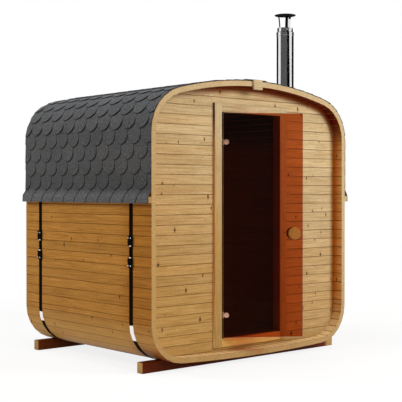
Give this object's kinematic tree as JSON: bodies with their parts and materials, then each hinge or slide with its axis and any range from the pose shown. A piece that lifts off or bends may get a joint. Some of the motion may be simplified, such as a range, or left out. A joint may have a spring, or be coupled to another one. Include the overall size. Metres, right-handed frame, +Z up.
{
  "type": "cube sauna cabin",
  "caption": "Stave-built garden sauna cabin with rounded corners, a shingled roof, an ajar glass door and a flue, resting on bearers.",
  "frame": {"origin": "middle of the front bearer's underside, on the ground under the doorway", "axes": "+X to the right as seen from the front, +Y from the door wall to the back wall, +Z up"},
  "size_m": [2.358, 2.2018, 3.087],
  "materials": {
    "spruce_front": "planed spruce boards, oiled, fine horizontal grain with small dark knots",
    "spruce_frame": "planed spruce, oiled",
    "spruce_staves": "planed spruce staves, oiled a warm orange brown",
    "spruce_bearers": "sawn spruce, darker on its faces, pale end grain",
    "spruce_knob": "turned spruce, waxed",
    "bronze_glass": "toughened bronze-tinted glass with polished edges",
    "brass": "satin brass",
    "shingles": "mineral-coated bitumen shingles, dark grey",
    "strap_steel": "black coated steel strap, glossy",
    "stainless": "polished stainless steel"
  },
  "bodies": {
    "cabin": {"front_wall_left": "spruce_front", "front_wall_right": "spruce_front", "front_wall_over": "spruce_front", "front_wall_under": "spruce_front", "rear_wall": "spruce_front", "left_jamb": "spruce_frame", "right_jamb": "spruce_frame", "header": "spruce_frame", "sill": "spruce_frame", "front_ridge_block": "spruce_frame", "rear_ridge_block": "spruce_frame", "bottom_staves": "spruce_staves", "lower_left_staves": "spruce_staves", "lower_right_staves": "spruce_staves", "left_wall_staves": "spruce_staves", "right_wall_staves": "spruce_staves", "upper_left_staves": "spruce_staves", "upper_right_staves": "spruce_staves", "roof_left_staves": "spruce_staves", "roof_right_staves": "spruce_staves", "left_eave_batten": "spruce_staves", "right_eave_batten": "spruce_staves", "front_bearer": "spruce_bearers", "rear_bearer": "spruce_bearers", "upper_hinge_leaf": "brass", "lower_hinge_leaf": "brass", "left_shingles": "shingles", "right_shingles": "shingles", "front_strap": "strap_steel", "rear_strap": "strap_steel", "left_tensioners": "strap_steel", "right_tensioners": "strap_steel", "flue_pipe": "stainless", "flue_clamp_band": "stainless", "flue_flashing": "stainless", "ceiling_collar": "stainless", "cap_collar": "stainless", "cap_legs": "stainless", "rain_cap": "stainless"},
    "door": {"door_glass": "bronze_glass", "outer_knob": "spruce_knob", "inner_knob": "spruce_knob", "knob_spindle": "brass", "upper_hinge_clamp": "brass", "lower_hinge_clamp": "brass"}
  },
  "joints": [
    {"name": "door_hinge", "type": "hinge", "parent": "cabin", "child": "door", "pos_m": [-0.3235, -0.105, 0], "axis": [0, 0, -1], "range_deg": [-34, 76]}
  ]
}
